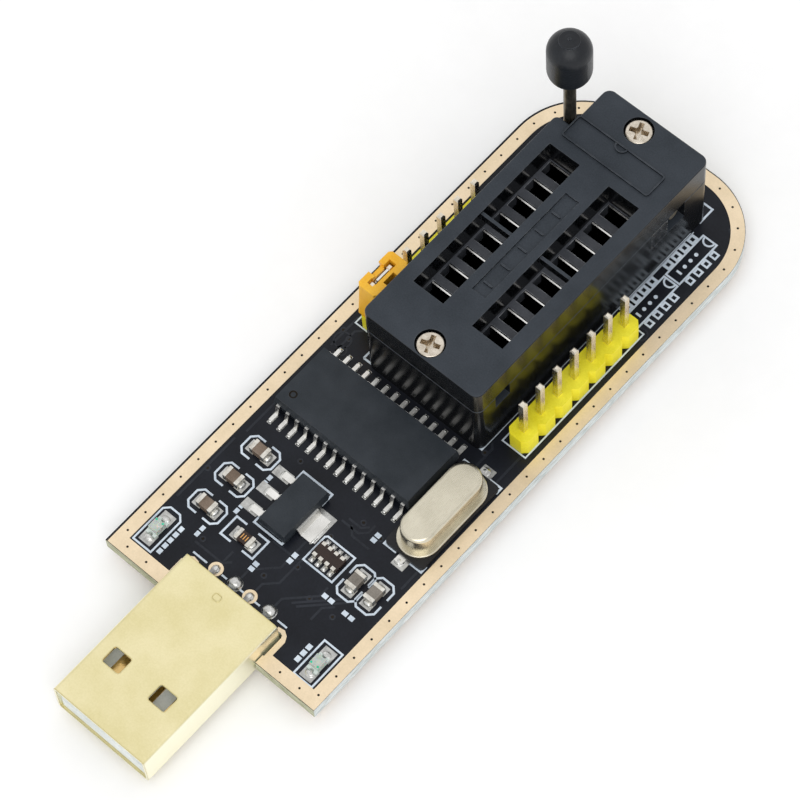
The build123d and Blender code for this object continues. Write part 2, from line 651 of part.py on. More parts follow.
circuit_board()
usb_plug()
zif_socket()
pin_headers()
jumper()
interface_chip()
regulator()
crystal()
capacitors()
resistors()
lamp("power_led", POWER_LED)
lamp("status_led", STATUS_LED)
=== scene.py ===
import json
import math

import bmesh
import bpy
from mathutils import Matrix, Vector


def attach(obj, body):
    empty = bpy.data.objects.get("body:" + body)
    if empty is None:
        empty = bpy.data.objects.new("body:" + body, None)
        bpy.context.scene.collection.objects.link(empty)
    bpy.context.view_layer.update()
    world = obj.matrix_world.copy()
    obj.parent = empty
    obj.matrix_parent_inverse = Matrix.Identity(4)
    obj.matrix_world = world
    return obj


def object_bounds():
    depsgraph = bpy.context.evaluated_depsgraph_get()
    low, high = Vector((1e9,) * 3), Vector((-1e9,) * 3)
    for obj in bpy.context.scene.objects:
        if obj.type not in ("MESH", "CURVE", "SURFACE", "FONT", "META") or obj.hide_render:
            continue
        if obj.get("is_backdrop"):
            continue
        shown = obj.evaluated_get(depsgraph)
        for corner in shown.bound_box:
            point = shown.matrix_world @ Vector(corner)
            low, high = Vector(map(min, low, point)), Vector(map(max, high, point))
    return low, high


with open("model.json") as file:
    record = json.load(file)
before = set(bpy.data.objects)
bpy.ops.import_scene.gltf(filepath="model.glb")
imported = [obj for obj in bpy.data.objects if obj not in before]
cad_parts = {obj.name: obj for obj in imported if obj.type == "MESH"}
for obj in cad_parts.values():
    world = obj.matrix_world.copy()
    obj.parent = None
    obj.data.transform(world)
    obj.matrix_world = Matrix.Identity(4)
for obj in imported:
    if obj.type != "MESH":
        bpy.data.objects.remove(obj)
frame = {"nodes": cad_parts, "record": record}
cad_low, cad_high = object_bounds()

# Driving dimensions of the part, in millimetres. Places are given on the board: x from its long centre line,
# y from its plug-end edge, z from its component face.
MM = 0.001
MIDDLE_Y = 27.575
BOARD_TOP = 3.1
BOARD_WIDTH = 27.6
BOARD_LENGTH = 70.2
BOARD_THICKNESS = 1.6
BOARD_REAR_RADIUS = 8.5
PITCH = 2.54
FINE_PITCH = 1.27
USB_X = 0.1
USB_CONTACT_X = (-3.5, -1.0, 1.0, 3.5)
USB_JOINT_Y = 4.75
PEG_X = 5.85
PEG_Y = (1.45, 3.5)
ZIF_TOP = 11.3
ROW_CENTRE = 0.25
ROWS = (ROW_CENTRE - 3.81, ROW_CENTRE + 3.81)
FIRST_CONTACT_Y = 39.03
ZIF_WAYS = 8
CONTACT_TOP = 8.2
FRONT_ARM_TOP = 6.4
CONTACT_REACH = 1.2
RIGHT_HEADER = (10.26, 34.71)
LEFT_HEADER = (-9.6, 35.06)
HEADER_WAYS = 7
CHIP_CENTRE = (-2.0, 25.15)
CHIP_TOP = 2.4
PIN_ONE = (-9.6, 22.9)
CHIP_LEADS = 14
LEAD_SPAN = 10.3
REGULATOR_CENTRE = (-1.7, 14.2)
CRYSTAL_CENTRE = (9.6, 23.3)
CAPACITORS_ACROSS = ((-8.6, 16.8), (-8.6, 12.95), (-8.6, 9.1))
CAPACITORS_ALONG = ((7.98, 12.5), (10.26, 12.65))
RESISTOR_CENTRE = (-3.4, 8.9)
ARRAY_CENTRE = (4.2, 12.75)
POWER_LED = (-10.75, 4.2)
STATUS_LED = (10.9, 3.85)

# Layers on the component face, and widths of the printed lines
COPPER = 0.035
TRACE = 0.012
INK = 0.028
INK_WIDTH = 0.22
FINE_INK = 0.2
HAIR_INK = 0.16


def at(x, y, z):
    return Vector((x * MM, (y - MIDDLE_Y) * MM, (z + BOARD_TOP) * MM))


# ---- materials ----

class Look:
    """Builds one procedural material. Its coordinates are millimetres in the part's frame."""

    def __init__(self, name):
        self.material = bpy.data.materials.new(name)
        self.material.use_nodes = True
        self.tree = self.material.node_tree
        self.tree.nodes.clear()
        output = self.tree.nodes.new("ShaderNodeOutputMaterial")
        self.shader = self.tree.nodes.new("ShaderNodeBsdfPrincipled")
        self.tree.links.new(self.shader.outputs[0], output.inputs[0])
        coordinates = self.tree.nodes.new("ShaderNodeTexCoord")
        self.place = self.scaled(coordinates.outputs["Object"], (1 / MM,) * 3)

    def join(self, source, target):
        if isinstance(source, bpy.types.NodeSocket):
            self.tree.links.new(source, target)
        else:
            target.default_value = source

    def scaled(self, vector, scale):
        node = self.tree.nodes.new("ShaderNodeMapping")
        self.join(vector, node.inputs["Vector"])
        node.inputs["Scale"].default_value = scale
        return node.outputs[0]

    def noise(self, size, detail=3.0, rough=0.55, stretch=(1, 1, 1)):
        """Grey noise whose features are about size millimetres across."""
        node = self.tree.nodes.new("ShaderNodeTexNoise")
        self.join(self.scaled(self.place, [s / size for s in stretch]), node.inputs["Vector"])
        node.inputs["Scale"].default_value = 1.0
        node.inputs["Detail"].default_value = detail
        node.inputs["Roughness"].default_value = rough
        return node.outputs[0]

    def cells(self, size, feature="F1", stretch=(1, 1, 1)):
        node = self.tree.nodes.new("ShaderNodeTexVoronoi")
        node.feature = feature
        self.join(self.scaled(self.place, [s / size for s in stretch]), node.inputs["Vector"])
        node.inputs["Scale"].default_value = 1.0
        return node.outputs["Distance"]

    def span(self, value, low, high, to_low=0.0, to_high=1.0):
        node = self.tree.nodes.new("ShaderNodeMapRange")
        self.join(value, node.inputs["Value"])
        node.inputs["From Min"].default_value = low
        node.inputs["From Max"].default_value = high
        node.inputs["To Min"].default_value = to_low
        node.inputs["To Max"].default_value = to_high
        return node.outputs[0]

    def sum(self, *terms):
        """Adds (socket, weight) pairs."""
        total = None
        for socket, weight in terms:
            node = self.tree.nodes.new("ShaderNodeMath")
            node.operation = "MULTIPLY_ADD"
            self.join(socket, node.inputs[0])
            node.inputs[1].default_value = weight
            self.join(total if total is not None else 0.0, node.inputs[2])
            total = node.outputs[0]
        return total

    def blend(self, low, high, factor):
        """Mixes two colours, given as (r, g, b) or as sockets."""
        node = self.tree.nodes.new("ShaderNodeMix")
        node.data_type = "RGBA"
        self.join(factor, node.inputs[0])
        for value, socket in ((low, node.inputs[6]), (high, node.inputs[7])):
            self.join(value if isinstance(value, bpy.types.NodeSocket) else (*value, 1.0), socket)
        return node.outputs[2]

    def product(self, one, two):
        node = self.tree.nodes.new("ShaderNodeMath")
        node.operation = "MULTIPLY"
        self.join(one, node.inputs[0])
        self.join(two, node.inputs[1])
        return node.outputs[0]

    def height(self):
        """Height above the board's component face, in millimetres."""
        split = self.tree.nodes.new("ShaderNodeSeparateXYZ")
        self.join(self.place, split.inputs[0])
        return self.sum((split.outputs["Z"], 1.0), (BOARD_TOP, -1.0))

    def facing(self, axis="Z"):
        """1 on faces square to an axis, 0 on those along it."""
        geometry = self.tree.nodes.new("ShaderNodeNewGeometry")
        split = self.tree.nodes.new("ShaderNodeSeparateXYZ")
        self.join(geometry.outputs["True Normal"], split.inputs[0])
        size = self.tree.nodes.new("ShaderNodeMath")
        size.operation = "ABSOLUTE"
        self.join(split.outputs[axis], size.inputs[0])
        return self.span(size.outputs[0], 0.45, 0.75)

    def edges(self, radius=0.12):
        """1 along sharp edges, fading to 0 at radius millimetres from them."""
        bevel = self.tree.nodes.new("ShaderNodeBevel")
        bevel.samples = 4
        bevel.inputs["Radius"].default_value = radius * MM
        geometry = self.tree.nodes.new("ShaderNodeNewGeometry")
        match = self.tree.nodes.new("ShaderNodeVectorMath")
        match.operation = "DOT_PRODUCT"
        self.join(bevel.outputs[0], match.inputs[0])
        self.join(geometry.outputs["True Normal"], match.inputs[1])
        return self.span(match.outputs["Value"], 0.995, 0.86)

    def colour(self, value):
        self.join(value, self.shader.inputs["Base Color"])

    def rough(self, value):
        self.join(value, self.shader.inputs["Roughness"])

    def set(self, **values):
        for name, value in values.items():
            self.shader.inputs[name.replace("_", " ")].default_value = value

    def bump(self, height, depth, faceted=False):
        """Relief of the given depth; faceted keeps each flat face of the mesh exactly flat."""
        node = self.tree.nodes.new("ShaderNodeBump")
        node.inputs["Distance"].default_value = depth * MM
        if faceted:
            geometry = self.tree.nodes.new("ShaderNodeNewGeometry")
            self.join(geometry.outputs["True Normal"], node.inputs["Normal"])
        self.join(height, node.inputs["Height"])
        self.join(node.outputs[0], self.shader.inputs["Normal"])


def plastic(name, dark, light, grain, roughness, depth=0.01, edge_wear_and_highlight=None, specular=0.35, faceted=True):
    """Moulded plastic: uneven tint, fine grain and a satin surface."""
    look = Look(name)
    cloud = look.noise(3.5, 4.0)
    fine = look.noise(grain, 2.0, 0.6)
    tint = look.blend(dark, light, look.span(look.sum((cloud, 0.65), (fine, 0.35)), 0.38, 0.62))
    # Optional pale edges: partly worn and partly a painted highlight along the edges.
    if edge_wear_and_highlight:
        scuff_and_highlight = look.product(look.edges(0.08), look.span(look.noise(1.2, 5.0), 0.42, 0.62))
        tint = look.blend(tint, edge_wear_and_highlight, scuff_and_highlight)
    look.colour(tint)
    look.rough(look.span(look.sum((cloud, 0.5), (fine, 0.5)), 0.3, 0.7, roughness[0], roughness[1]))
    look.bump(look.sum((fine, 0.8), (look.noise(grain * 4, 2.0), 0.4)), depth, faceted)
    look.set(Specular_IOR_Level=specular)
    return look


def metal(name, dark, light, roughness, grain=0.12, stretch=(1, 1, 1), depth=0.004, patch=2.0, faceted=False):
    """Plated or drawn metal: patches of tint, drawn grain and a little unevenness."""
    look = Look(name)
    cloud = look.noise(patch, 4.0)
    fine = look.noise(grain, 3.0, 0.65, stretch)
    look.colour(look.blend(dark, light, look.span(look.sum((cloud, 0.6), (fine, 0.4)), 0.36, 0.64)))
    look.rough(look.span(look.sum((cloud, 0.4), (fine, 0.6)), 0.3, 0.7, roughness[0], roughness[1]))
    look.bump(look.sum((fine, 0.7), (look.noise(patch * 0.5, 2.0), 0.6)), depth, faceted)
    look.set(Metallic=1.0)
    return look


def socket_contact(name):
    """Nickel strip, with a painted glint along its sheared top edge and painted shade on its face below."""
    look = Look(name)
    cloud = look.noise(1.2, 4.0)
    grain = look.noise(0.08, 3.0, 0.65, (1, 1, 0.2))
    mixed = look.span(look.sum((cloud, 0.5), (grain, 0.5)), 0.36, 0.64)
    # Painted light: dull is painted shade on the face below the top edge, bright is a painted glint, and top
    # masks the thin band under the top edge that gets the glint.
    dull = look.blend((0.018, 0.018, 0.02), (0.05, 0.05, 0.052), mixed)
    bright = look.blend((0.72, 0.71, 0.69), (0.93, 0.92, 0.9), mixed)
    top = look.span(look.height(), CONTACT_TOP - 0.05, CONTACT_TOP - 0.015)
    look.colour(look.blend(dull, bright, top))
    look.rough(look.span(mixed, 0.0, 1.0, 0.2, 0.34))
    look.bump(grain, 0.004, True)
    look.set(Metallic=1.0)
    return look


def solder_mask(name, dark, light):
    """Glossy dark mask on the faces; cut glass-epoxy layers on the edges, painted paler as lit on the edges
    facing along x and darker as shaded on the others.
    """
    look = Look(name)
    cloud = look.noise(5.0, 5.0)
    fine = look.noise(0.25, 2.0)
    mask = look.blend(dark, light, look.span(look.sum((cloud, 0.7), (fine, 0.3)), 0.35, 0.65))
    layers = look.noise(0.16, 3.0, 0.6, (0.12, 0.12, 1.0))
    chips = look.cells(0.5, "F1", (1.0, 1.0, 1.6))
    # Painted light: a darker, shaded laminate colour, and a paler, lit one for the edges that face along x.
    laminate = look.blend((0.23, 0.24, 0.125), (0.62, 0.62, 0.48), look.span(layers, 0.3, 0.7))
    lit_side_laminate = look.blend((0.40, 0.44, 0.43), (0.78, 0.82, 0.82), look.span(layers, 0.3, 0.7))
    laminate = look.blend(laminate, lit_side_laminate, look.facing("X"))
    laminate = look.blend(laminate, (0.80, 0.82, 0.80), look.span(chips, 0.2, 0.02, 0.0, 0.6))
    face = look.facing()
    look.colour(look.blend(laminate, mask, face))
    look.rough(look.span(face, 0.0, 1.0, 0.72, 0.3))
    look.bump(look.sum((fine, 0.35), (layers, 0.25), (cloud, 0.5)), 0.012, True)
    look.set(Specular_IOR_Level=0.22)
    return look


def socket_plastic(name, dark, light, edge_wear_and_highlight):
    """Glass-filled nylon: matt grained tops, glossy walls painted near black as shade, and pale edges that
    are partly worn and partly a painted highlight.
    """
    look = Look(name)
    cloud = look.noise(4.0, 5.0)
    fine = look.noise(0.16, 2.0, 0.7)
    mottle = look.span(look.sum((cloud, 0.5), (fine, 0.5)), 0.36, 0.64)
    face = look.facing()
    # Painted shade: every face that does not face up is coloured near black.
    tint = look.blend((0.004, 0.0045, 0.0055), look.blend(dark, light, mottle), face)
    # Pale edges, partly worn and partly a painted highlight along the edges.
    scuff_and_highlight = look.product(look.edges(0.1), look.span(look.noise(0.8, 5.0), 0.4, 0.62, 0.0, 0.75))
    look.colour(look.blend(tint, edge_wear_and_highlight, scuff_and_highlight))
    gloss = look.span(cloud, 0.3, 0.7, 0.18, 0.24)
    matt = look.span(fine, 0.3, 0.7, 0.44, 0.6)
    look.rough(look.sum((gloss, 1.0), (look.product(face, look.sum((matt, 1.0), (gloss, -1.0))), 1.0)))
    relief = look.sum((fine, 0.8), (look.cells(0.3), 0.35))
    look.bump(look.product(relief, look.span(face, 0.0, 1.0, 0.01, 1.0)), 0.012, True)
    look.set(Specular_IOR_Level=0.26)
    return look


def gold_shell(name):
    """Pale gold flash over rolled steel: fine orange peel, sides painted pale as a highlight, brassier worn
    edges.
    """
    look = Look(name)
    cloud = look.noise(5.0, 4.0)
    peel = look.noise(0.2, 2.0, 0.5)
    mottle = look.span(look.sum((cloud, 0.7), (peel, 0.3)), 0.36, 0.64)
    tint = look.blend((0.80, 0.715, 0.385), (0.91, 0.825, 0.51), mottle)
    # Painted highlight: faces that do not face up are coloured a near-white pale gold.
    tint = look.blend((1.0, 0.97, 0.78), tint, look.facing())
    worn = look.product(look.edges(0.26), look.span(cloud, 0.3, 0.6, 0.6, 0.95))
    tint = look.blend(tint, (0.46, 0.38, 0.12), worn)
    tint = look.blend(tint, (0.52, 0.44, 0.22), look.span(look.cells(0.9), 0.05, 0.0, 0.0, 0.4))
    look.colour(tint)
    look.rough(look.span(look.sum((cloud, 0.5), (peel, 0.5)), 0.3, 0.7, 0.28, 0.4))
    look.bump(look.sum((peel, 0.9), (look.noise(1.2, 2.0), 0.5)), 0.012, True)
    look.set(Metallic=1.0)
    return look


def plug_contact(name):
    """Gold on the tongue, tinned and dull where it is soldered into the board."""
    look = Look(name)
    cloud = look.noise(1.0, 4.0)
    split = look.tree.nodes.new("ShaderNodeSeparateXYZ")
    look.join(look.place, split.inputs[0])
    rear = look.span(split.outputs["Y"], 3.2 - MIDDLE_Y, 3.6 - MIDDLE_Y)
    gold = look.blend((0.62, 0.40, 0.14), (0.86, 0.64, 0.30), cloud)
    tin = look.blend((0.16, 0.155, 0.15), (0.5, 0.49, 0.47), look.span(cloud, 0.35, 0.65))
    look.colour(look.blend(gold, tin, rear))
    look.rough(look.span(cloud, 0.3, 0.7, 0.18, 0.34))
    look.bump(look.noise(0.1, 3.0), 0.004, True)
    look.set(Metallic=1.0)
    return look


def spring_steel(name):
    """Dark hardened strip with a painted highlight along its sheared edges."""
    look = Look(name)
    cloud = look.noise(0.8, 4.0)
    dark = look.blend((0.02, 0.02, 0.022), (0.07, 0.07, 0.072), look.span(cloud, 0.35, 0.65))
    # Painted highlight: the edges are coloured near white.
    look.colour(look.blend(dark, (0.88, 0.87, 0.85), look.edges(0.1)))
    look.rough(look.span(cloud, 0.3, 0.7, 0.18, 0.32))
    look.bump(look.noise(0.1, 3.0), 0.003, True)
    look.set(Metallic=1.0)
    return look


def lens_look(name):
    """Milky clear resin."""
    look = Look(name)
    cloud = look.noise(0.4, 3.0)
    look.colour(look.blend((0.70, 0.84, 0.74), (0.92, 0.96, 0.90), look.span(cloud, 0.35, 0.65)))
    look.rough(look.span(cloud, 0.3, 0.7, 0.12, 0.3))
    look.bump(look.noise(0.2, 2.0), 0.01)
    look.set(Transmission_Weight=0.45, IOR=1.5, Subsurface_Weight=0.2, Subsurface_Scale=0.0004)
    return look


LOOKS = {
    "solder_mask": solder_mask("solder_mask", (0.004, 0.005, 0.0085), (0.0095, 0.0115, 0.0175)),
    "gold_shell": gold_shell("gold_shell"),
    "plug_contact": plug_contact("plug_contact"),
    "usb_insulator": plastic("usb_insulator", (0.66, 0.70, 0.69), (0.82, 0.86, 0.86), 0.3, (0.35, 0.5)),
    "socket_plastic": socket_plastic("socket_plastic", (0.021, 0.027, 0.035), (0.038, 0.046, 0.058),
                                     (0.13, 0.14, 0.15)),
    # Its pale edge colour is mostly a painted highlight along the ribs' edges.
    "slider_plastic": plastic("slider_plastic", (0.050, 0.055, 0.066), (0.082, 0.088, 0.102), 0.14,
                              (0.4, 0.55), edge_wear_and_highlight=(0.6, 0.62, 0.65)),
    "socket_contact": socket_contact("socket_contact"),
    "contact_nickel": metal("contact_nickel", (0.62, 0.61, 0.58), (0.86, 0.85, 0.82), (0.14, 0.26), 0.08,
                            faceted=True),
    "spring_steel": spring_steel("spring_steel"),
    "screw_nickel": metal("screw_nickel", (0.50, 0.44, 0.36), (0.80, 0.73, 0.63), (0.2, 0.34), 0.14,
                          depth=0.01, patch=0.7),
    "lever_steel": metal("lever_steel", (0.09, 0.08, 0.06), (0.30, 0.27, 0.21), (0.3, 0.44), 0.08,
                         (1, 1, 0.06), 0.01, 1.0),
    "knob_plastic": plastic("knob_plastic", (0.005, 0.0065, 0.0095), (0.0105, 0.013, 0.017), 0.22,
                            (0.3, 0.44), 0.03, edge_wear_and_highlight=(0.12, 0.13, 0.15), specular=0.34, faceted=False),
    "header_yellow": plastic("header_yellow", (0.80, 0.70, 0.012), (0.93, 0.84, 0.045), 0.2, (0.34, 0.5),
                             0.012),
    "pin_tin": metal("pin_tin", (0.62, 0.55, 0.43), (0.90, 0.85, 0.74), (0.2, 0.34), 0.1, (1, 1, 0.15),
                     faceted=True),
    "jumper_orange": plastic("jumper_orange", (0.86, 0.42, 0.012), (0.95, 0.54, 0.045), 0.2, (0.3, 0.45),
                             0.012),
    "package_black": plastic("package_black", (0.017, 0.022, 0.028), (0.031, 0.037, 0.045), 0.09,
                             (0.42, 0.58), 0.01, edge_wear_and_highlight=(0.07, 0.075, 0.08), specular=0.24),
    "lead_tin": metal("lead_tin", (0.66, 0.65, 0.62), (0.94, 0.93, 0.90), (0.28, 0.4), 0.1, faceted=True),
    "crystal_can": metal("crystal_can", (0.56, 0.52, 0.41), (0.74, 0.69, 0.56), (0.2, 0.34), 0.1,
                         (1, 0.1, 1), 0.006, 3.0),
    "crystal_base": plastic("crystal_base", (0.008, 0.008, 0.009), (0.018, 0.018, 0.02), 0.15, (0.35, 0.5),
                            specular=0.25),
    "ceramic_brown": plastic("ceramic_brown", (0.12, 0.085, 0.058), (0.22, 0.165, 0.125), 0.12, (0.3, 0.46),
                             edge_wear_and_highlight=(0.38, 0.32, 0.26)),
    "ceramic_grey": plastic("ceramic_grey", (0.14, 0.125, 0.105), (0.25, 0.225, 0.195), 0.12, (0.3, 0.46),
                            edge_wear_and_highlight=(0.40, 0.37, 0.33)),
    "end_tin": metal("end_tin", (0.54, 0.51, 0.45), (0.86, 0.84, 0.78), (0.24, 0.42), 0.16, depth=0.012,
                     patch=0.6),
    "resistor_film": plastic("resistor_film", (0.014, 0.008, 0.006), (0.04, 0.021, 0.014), 0.12, (0.2, 0.34)),
    "led_carrier": plastic("led_carrier", (0.50, 0.58, 0.54), (0.72, 0.78, 0.75), 0.15, (0.35, 0.5)),
    "led_lens": lens_look("led_lens"),
    "ring_gold": metal("ring_gold", (0.82, 0.67, 0.46), (0.96, 0.80, 0.58), (0.4, 0.55), 0.2, depth=0.008,
                       patch=3.0, faceted=True),
    "silkscreen": plastic("silkscreen", (0.48, 0.55, 0.63), (0.70, 0.78, 0.86), 0.16, (0.45, 0.65), 0.02),
    "solder": metal("solder", (0.46, 0.46, 0.44), (0.84, 0.84, 0.82), (0.14, 0.34), 0.18, depth=0.02,
                    patch=0.5),
    "flat_solder": metal("flat_solder", (0.34, 0.34, 0.33), (0.64, 0.64, 0.62), (0.25, 0.45), 0.3,
                         depth=0.03, patch=0.7),
    # Near-black colour of painted shade, for the insides of holes and the pin-one dimple's rim.
    "painted_shade": plastic("painted_shade", (0.006, 0.005, 0.004), (0.03, 0.022, 0.014), 0.1, (0.5, 0.7),
                         specular=0.1),
    "mask_relief": plastic("mask_relief", (0.011, 0.0135, 0.019), (0.020, 0.0235, 0.032), 0.3, (0.25, 0.36),
                           specular=0.26),
    "green_ink": plastic("green_ink", (0.01, 0.42, 0.22), (0.03, 0.62, 0.36), 0.1, (0.3, 0.5)),
    "amber_ink": plastic("amber_ink", (0.62, 0.26, 0.05), (0.85, 0.48, 0.16), 0.1, (0.3, 0.5)),
    "floor_paper": plastic("floor_paper", (0.965, 0.965, 0.965), (0.98, 0.98, 0.98), 2.0, (0.7, 0.9), 0.002,
                           specular=0.2),
}

# Nodes that differ from the usual look of their material slot
OWN_LOOKS = {
    "capacitor_4": "ceramic_grey",
    "capacitor_5": "ceramic_grey",
    "zif_contacts_left": "socket_contact",
    "zif_contacts_right": "socket_contact",
    "shaft_clip": "spring_steel",
}
OWN_LOOKS.update({f"usb_contact_{number}": "plug_contact" for number in range(1, 5)})

for row in frame["record"]["subparts"]:
    look = OWN_LOOKS.get(row["node"], row["material_slot"])
    for holder in frame["nodes"][row["node"]].material_slots:
        holder.material = LOOKS[look].material


# ---- mesh building ----

class Piece:
    """Mesh under construction, in millimetres on the board."""

    def __init__(self):
        self.mesh = bmesh.new()

    def vert(self, x, y, z):
        return self.mesh.verts.new(at(x, y, z))

    def plate(self, outer, low, high, holes=()):
        """Flat plate between two levels, with holes through it."""
        rim = []
        for loop in (outer, *holes):
            verts = [self.vert(x, y, low) for x, y in loop]
            rim += [self.mesh.edges.new(pair) for pair in zip(verts, verts[1:] + verts[:1])]
        faces = bmesh.ops.triangle_fill(self.mesh, use_beauty=True, use_dissolve=False, edges=rim)["geom"]
        faces = [item for item in faces if isinstance(item, bmesh.types.BMFace)]
        raised = bmesh.ops.extrude_face_region(self.mesh, geom=faces)["geom"]
        lift = Vector((0, 0, (high - low) * MM))
        for item in raised:
            if isinstance(item, bmesh.types.BMVert):
                item.co += lift

    def ribbon(self, points, width, low, high, closed=False):
        """Line of even width with mitred corners."""
        count = len(points)
        rows = []
        for i, here in enumerate(points):
            here = Vector(here)
            before = Vector(points[i - 1]) if closed or i else None
            after = Vector(points[(i + 1) % count]) if closed or i < count - 1 else None
            ahead = (after - here).normalized() if after is not None else (here - before).normalized()
            behind = (here - before).normalized() if before is not None else ahead
            along = (ahead + behind).normalized()
            across = Vector((-along.y, along.x))
            spread = width / 2 / max(0.35, across.dot(Vector((-ahead.y, ahead.x))))
            left, right = here + across * spread, here - across * spread
            section = ((left, low), (right, low), (right, high), (left, high))
            rows.append([self.vert(*side, z) for side, z in section])
        pairs = list(zip(rows, rows[1:]))
        if closed:
            pairs.append((rows[-1], rows[0]))
        else:
            self.mesh.faces.new(rows[0])
            self.mesh.faces.new(rows[-1][::-1])
        for one, two in pairs:
            for k in range(4):
                self.mesh.faces.new((one[k], two[k], two[(k + 1) % 4], one[(k + 1) % 4]))

    def lathe(self, x, y, profile, turns=20, squash=(1.0, 1.0)):
        """Surface of revolution about an upright axis, from (radius, z) points; it may be oval."""
        rings = []
        for radius, z in profile:
            if radius < 1e-6:
                rings.append([self.vert(x, y, z)])
                continue
            angles = [2 * math.pi * k / turns for k in range(turns)]
            half_x, half_y = radius * squash[0], radius * squash[1]
            rings.append([self.vert(x + half_x * math.cos(a), y + half_y * math.sin(a), z) for a in angles])
        for one, two in zip(rings, rings[1:]):
            for k in range(turns):
                after = k + 1
                quad = [one[k % len(one)], one[after % len(one)], two[after % len(two)], two[k % len(two)]]
                unique = list(dict.fromkeys(quad))
                if len(unique) > 2:
                    self.mesh.faces.new(unique)

    def dome(self, x, y, radii, height, z=0.0, turns=16):
        """Rounded drop of solder that spreads a little where it wets the copper."""
        steps = 5
        profile = [(1.12, z)]
        for k in range(steps + 1):
            angle = math.pi / 2 * k / steps
            radius = math.cos(angle) if k < steps else 0.0
            profile.append((radius, z + height * (0.12 + 0.88 * math.sin(angle))))
        self.lathe(x, y, profile, turns, radii)

    def finish(self, name, look, body="board", smooth=None):
        bmesh.ops.recalc_face_normals(self.mesh, faces=self.mesh.faces)
        if smooth is not None:
            for face in self.mesh.faces:
                face.smooth = True
            for edge in self.mesh.edges:
                if len(edge.link_faces) == 2 and edge.calc_face_angle() > math.radians(smooth):
                    edge.smooth = False
        data = bpy.data.meshes.new(name)
        self.mesh.to_mesh(data)
        self.mesh.free()
        made = bpy.data.objects.new(name, data)
        bpy.context.collection.objects.link(made)
        data.materials.append(LOOKS[look].material)
        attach(made, body)
        return made


def arc(x, y, radius, start, end, steps=10):
    """Points along an arc, angles in degrees."""
    turns = [math.radians(start + (end - start) * k / steps) for k in range(steps + 1)]
    return [(x + radius * math.cos(a), y + radius * math.sin(a)) for a in turns]


def circle(x, y, radius, steps=14):
    return arc(x, y, radius, 0, 360 * (steps - 1) / steps, steps - 1)


def rectangle(x_span, y_span, corner=0.0):
    (x0, x1), (y0, y1) = x_span, y_span
    if not corner:
        return [(x0, y0), (x1, y0), (x1, y1), (x0, y1)]
    centres = ((x1 - corner, y0 + corner), (x1 - corner, y1 - corner),
               (x0 + corner, y1 - corner), (x0 + corner, y0 + corner))
    points = []
    for quarter, centre in enumerate(centres):
        points += arc(*centre, corner, 90 * quarter - 90, 90 * quarter, 4)
    return points


def about(centre, size):
    return (centre - size / 2, centre + size / 2)


def walk(path, pitch):
    """Points along a polyline, pitch apart."""
    spots = []
    left = pitch / 2
    for one, two in zip(path, path[1:]):
        one, two = Vector(one), Vector(two)
        length = (two - one).length
        while left <= length:
            spots.append(tuple(one.lerp(two, left / length)))
            left += pitch
        left -= length
    return spots


# ---- gold ring round the board, on both faces ----

NOTCH = (USB_X - 6.1, USB_X + 6.1)
RING_MARGIN = 0.13
RING_SHIFT = 0.11
RING_WIDTH = 1.45
RING_FRONT = 0.05
FRONT_STRIP = 1.6
TAB_REACH = 1.2
VIA_PITCH = 2.53
VIA_R = 0.13
VIA_FLOOR = 0.002


def edge_path(inset, front, inner_x):
    """Board outline moved inwards, from the plug's right side round the rear to its left side."""
    half = BOARD_WIDTH / 2 - inset
    radius = BOARD_REAR_RADIUS - inset
    corner_x = BOARD_WIDTH / 2 - BOARD_REAR_RADIUS
    corner_y = BOARD_LENGTH - BOARD_REAR_RADIUS
    path = [(inner_x[1], front), (half + RING_SHIFT, front)]
    path += arc(corner_x + RING_SHIFT, corner_y, radius, 0, 90, 24)
    path += arc(-corner_x + RING_SHIFT, corner_y, radius, 90, 180, 24)
    return path + [(-half + RING_SHIFT, front), (inner_x[0], front)]


def peg_tab(side):
    """Edge of the gold beside a peg's slot: along the slot's wall, round its end and back outside it."""
    x = USB_X + side * PEG_X
    front, rear = PEG_Y
    wall = [(0.4, front - 0.35), (0.4, rear), (0.28, rear + 0.28), (0.0, rear + 0.4), (-0.6, rear + 0.3)]
    outside = [(-0.6, rear + 0.72), (0.15, rear + 0.85), (0.7, rear + 0.5), (1.0, rear - 0.1)]
    outside.append((1.0, RING_FRONT + FRONT_STRIP))
    return [(x + side * across, y) for across, y in wall + outside]


via_ends = (NOTCH[0] - 0.9, NOTCH[1] + 1.2)
via_path = edge_path(RING_MARGIN + RING_WIDTH / 2, RING_FRONT + FRONT_STRIP / 2, via_ends)
ring_vias = walk(via_path, VIA_PITCH)
outside_edge = edge_path(RING_MARGIN, RING_FRONT, NOTCH)
tab_x = (NOTCH[0] - TAB_REACH, NOTCH[1] + TAB_REACH)
inside_edge = edge_path(RING_MARGIN + RING_WIDTH, RING_FRONT + FRONT_STRIP, tab_x)[1:-1]
slot_ends = [(x, PEG_Y[0] - 0.4) for x in NOTCH]
ring_loop = outside_edge + [slot_ends[0]] + peg_tab(-1)
ring_loop += inside_edge[::-1] + peg_tab(1)[::-1] + [slot_ends[1]]

for face, low, high in (("top", 0.0, COPPER), ("bottom", -BOARD_THICKNESS - COPPER, -BOARD_THICKNESS)):
    ring = Piece()
    ring.plate(ring_loop, low, high, [circle(x, y, VIA_R) for x, y in ring_vias])
    ring.finish(f"gold_ring_{face}", "ring_gold")
    # Painted shade: a near-black disc low in each via hole stands for the dark inside of the hole.
    holes = Piece()
    for x, y in ring_vias:
        holes.plate(circle(x, y, VIA_R), low + VIA_FLOOR, (low + high) / 2)
    holes.finish(f"ring_via_shade_{face}", "painted_shade")


# ---- copper under the mask: traces, test rings and vias ----

TRACE_WIDTH = 0.24
RING_LINE = 0.16


def staircase(start, *moves):
    """Trace path from a start and successive (dx, dy) moves."""
    path = [start]
    for dx, dy in moves:
        path.append((path[-1][0] + dx, path[-1][1] + dy))
    return path


